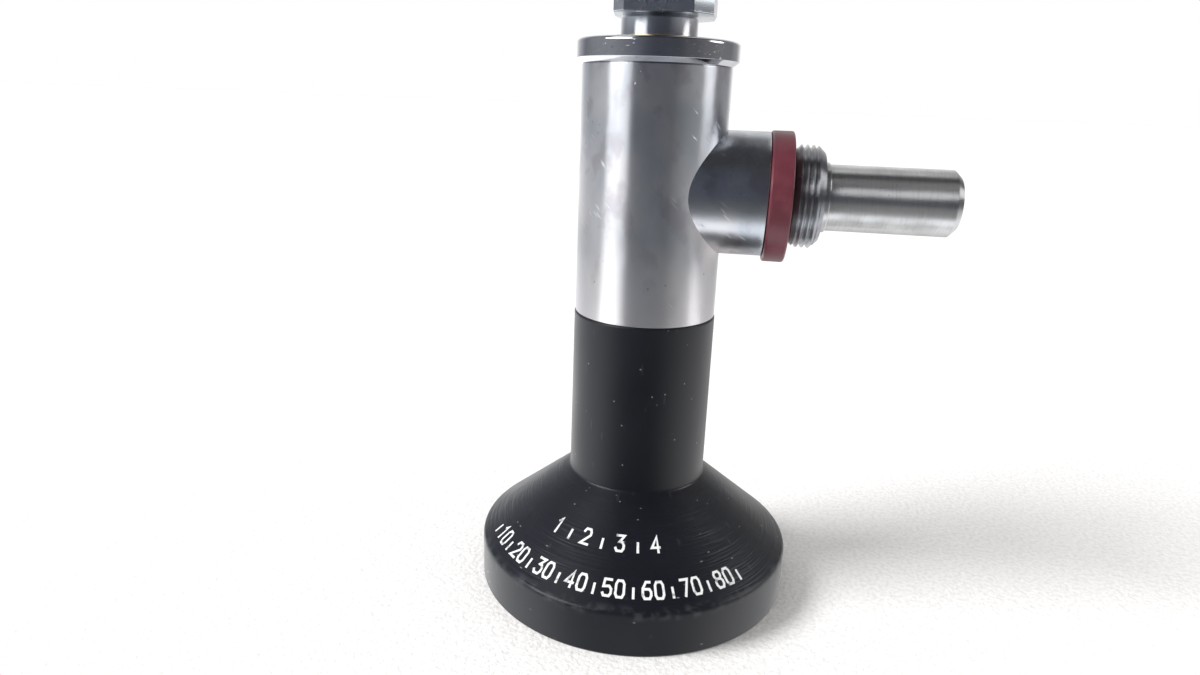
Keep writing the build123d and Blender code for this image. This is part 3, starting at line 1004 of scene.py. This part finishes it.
# Brightness of the studio round the object, seen in its polished metal: (degrees from the
# camera side towards +X, red, green, blue), at the horizon
HORIZON = [
    (-180, 1.20, 1.20, 1.20),
    (-158, 1.20, 1.20, 1.20),
    (-136, 0.60, 0.61, 0.64),
    (-116, 0.26, 0.27, 0.30),
    (-94, 0.36, 0.37, 0.40),
    (-63, 0.37, 0.38, 0.41),
    (-49, 0.29, 0.30, 0.33),
    (-37, 0.25, 0.26, 0.29),
    (-24, 0.18, 0.19, 0.22),
    (-12, 0.115, 0.122, 0.150),
    (0, 0.085, 0.092, 0.118),
    (12, 0.085, 0.092, 0.112),
    (34, 0.092, 0.096, 0.110),
    (46, 0.130, 0.135, 0.150),
    (60, 0.145, 0.150, 0.160),
    (73, 0.20, 0.20, 0.21),
    (87, 0.24, 0.24, 0.25),
    (104, 0.29, 0.29, 0.30),
    (124, 0.26, 0.26, 0.27),
    (145, 0.40, 0.40, 0.40),
    (163, 1.00, 1.00, 1.00),
    (180, 1.00, 1.00, 1.00),
]
# Towards the camera side below the horizon: (degrees down, grey)
BELOW = [
    (0, 0.120),
    (12, 0.130),
    (26, 0.145),
    (38, 0.25),
    (46, 0.70),
    (54, 1.60),
    (66, 1.80),
    (78, 1.30),
    (90, 1.10),
]
# Lamps that gloss sees: (degrees from the camera side, degrees up, radius in degrees, brightness)
LAMPS = [
    (-45, 23, 13, 6.2),
    (-63, 23, 14, 6.2),
    (-66, 54, 15, 1.2),
    (96, 21, 14, 4.8),
]
# How far the floor towards each side is the camera's own dim side: (degrees, share)
DIM_FLOOR = [(-180, 0.0), (-66, 0.0), (-26, 1.0), (32, 1.0), (82, 0.0), (180, 0.0)]
# The floor towards each side: (degrees round, grey)
SIDE_FLOOR = [
    (-180, 0.60),
    (-148, 2.10),
    (-112, 1.60),
    (-60, 1.60),
    (60, 1.40),
    (120, 1.40),
    (150, 1.20),
    (180, 0.60),
]
# Overhead: (degrees round, grey)
OVERHEAD = [
    (-180, 0.12),
    (-166, 0.30),
    (-150, 2.30),
    (-134, 1.30),
    (-116, 0.30),
    (-98, 0.12),
    (-60, 0.06),
    (60, 0.05),
    (112, 0.07),
    (132, 0.60),
    (152, 1.30),
    (168, 0.30),
    (180, 0.12),
]
ZENITH = (0.06, 0.06, 0.07, 1)
# Degrees up between which the horizon turns into overhead, overhead into the zenith,
# and the horizon into the floor
OVERHEAD_BLEND = (36.0, 60.0)
ZENITH_BLEND = (64.0, 80.0)
FLOOR_BLEND = (-4.0, -15.0)
# Share of a lamp's radius that is evenly bright
LAMP_CORE = 0.65


class WorldShader(Shader):
    """The same short calls on the world's nodes."""

    def __init__(self, world):
        world.use_nodes = True
        self.tree = world.node_tree
        self.tree.nodes.clear()
        self.place = self.add("ShaderNodeTexCoord").outputs["Generated"]

    def ramp(self, share, stops):
        node = self.add("ShaderNodeValToRGB", {0: share})
        elements = node.color_ramp.elements
        while len(elements) > 1:
            elements.remove(elements[-1])
        for number, (place, colour) in enumerate(stops):
            element = elements[0] if number == 0 else elements.new(place)
            element.position = place
            element.color = (*colour, 1)
        return node.outputs[0]

    def round_greys(self, around, stops):
        """Greys by degrees round the object."""
        return self.ramp(around, [((a + 180) / 360, (v, v, v)) for a, v in stops])

    def lamp(self, around, lift, radius, brightness):
        """A round soft lamp in one direction."""
        around, lift = math.radians(around), math.radians(lift)
        level = math.cos(lift)
        way = (math.sin(around) * level, -math.cos(around) * level, math.sin(lift))
        inputs = {0: self.place, 1: way}
        near = self.add("ShaderNodeVectorMath", inputs, operation="DOT_PRODUCT").outputs["Value"]
        rim, core = math.cos(math.radians(radius)), math.cos(math.radians(radius * LAMP_CORE))
        inputs = {0: near, 1: rim, 2: core, 3: 0.0, 4: brightness}
        return self.add("ShaderNodeMapRange", inputs, interpolation_type="SMOOTHSTEP").outputs[0]


def studio_world():
    """Even white light, a white backdrop, and a studio with soft lamps that only gloss sees."""
    world = bpy.data.worlds.new("studio")
    bpy.context.scene.world = world
    w = WorldShader(world)
    parts = w.add("ShaderNodeSeparateXYZ", {0: w.place}).outputs
    back = w.times(parts[1], -1.0)
    around = w.maths("ARCTAN2", parts[0], back)
    around = w.span(around, -math.pi, math.pi)
    lift = w.times(w.maths("ARCSINE", parts[2]), 180 / math.pi)
    horizon = w.ramp(around, [((a + 180) / 360, c) for a, *c in HORIZON])
    below = w.ramp(w.span(lift, 0.0, -90.0), [(d / 90, (v * 0.97, v, v * 1.04)) for d, v in BELOW])
    overhead = w.round_greys(around, OVERHEAD)
    dim = w.round_greys(around, DIM_FLOOR)
    sides = w.round_greys(around, SIDE_FLOOR)
    down = w.blend(dim, sides, below)
    sky = w.blend(w.span(lift, *OVERHEAD_BLEND), horizon, overhead)
    sky = w.blend(w.span(lift, *ZENITH_BLEND), sky, ZENITH)
    room = w.blend(w.span(lift, *FLOOR_BLEND), sky, down)
    for lamp in LAMPS:
        inputs = {0: room, 1: w.lamp(*lamp)}
        room = w.add("ShaderNodeVectorMath", inputs, operation="ADD").outputs[0]
    path = w.add("ShaderNodeLightPath").outputs
    plain = w.blend(path["Is Camera Ray"], (0.675, 0.67, 0.66, 1), (1.0, 1.0, 1.0, 1))
    colour = w.blend(path["Is Glossy Ray"], plain, room)
    surface = w.add("ShaderNodeBackground", {"Color": colour, "Strength": 1.0})
    output = w.add("ShaderNodeOutputWorld")
    w.put(output.inputs["Surface"], surface.outputs[0])
    world.cycles.sampling_method = "NONE"


def camera():
    """The photograph's own viewpoint: place in metres, and its turn, tilt and lean."""
    place = Vector((6.51, -76.656, 48.197)) * MM
    turn, tilt, lean = -0.141, 0.289, -0.037
    level = math.cos(tilt)
    ahead = Vector((math.sin(turn) * level, math.cos(turn) * level, -math.sin(tilt)))
    right = Vector((math.cos(turn), -math.sin(turn), 0))
    down = ahead.cross(right)
    leaned_right = math.cos(lean) * right + math.sin(lean) * down
    leaned_down = -math.sin(lean) * right + math.cos(lean) * down
    data = bpy.data.cameras.new("camera")
    data.sensor_width = 36.0
    data.lens = 23.82
    data.clip_start = 0.001
    data.clip_end = 100.0
    eye = bpy.data.objects.new("camera", data)
    axes = Matrix((leaned_right, -leaned_down, -ahead)).transposed().to_4x4()
    eye.matrix_world = Matrix.Translation(place) @ axes
    bpy.context.scene.collection.objects.link(eye)
    bpy.context.scene.camera = eye


def main():
    camera()
    studio_world()
    key_sun()
    floor()
    bpy.context.scene.view_settings.view_transform = "Standard"
    shell_black = black_shell()
    dress_inner_nodes({
        "glass": optical_glass(),
        "fibre": fibre_ends(),
        "seal": soft_seal(),
        "window_ring": anodised(),
        "inner": polished("inner_steel", 0.5, 0.25),
    })
    eyepiece_shell(shell_black)
    main_body(satin_steel("body_satin", 0.57, 0.285, stretch=1.0, rougher_low_and_painted_reflection=0.20))
    boss_steel = satin_steel("boss_satin", 0.60, 0.24, along_post=True, stretch=0.5, smear_round=True)
    light_post_boss(boss_steel)
    colour_ring(maroon_plastic())
    # The thread's darker tone is partly painted shade between its flanks and partly a darker steel
    light_post_adapter(satin_steel("thread_steel", 0.40, 0.38, along_post=True, stretch=1.0))
    tip_steel = polished("tip_polish", 0.58, 0.37, along_post=True, line_depth=0.0022 * MM, stretch=1.0)
    light_post_spigot(tip_steel)
    collar_ring(polished("collar_chrome", 0.58, 0.08, tint=(0.97, 0.98, 1.03)))
    neck_braze(braze_gold())
    neck_steel = satin_steel("neck_satin", 0.64, 0.25, stretch=1.0)
    lock_fitting(neck_steel, polished("plate_polish", 0.60, 0.24, tint=COOL))
    outer_tube(polished("shaft_polish", 0.6, 0.14))
    scale_marks(white_fill())


main()
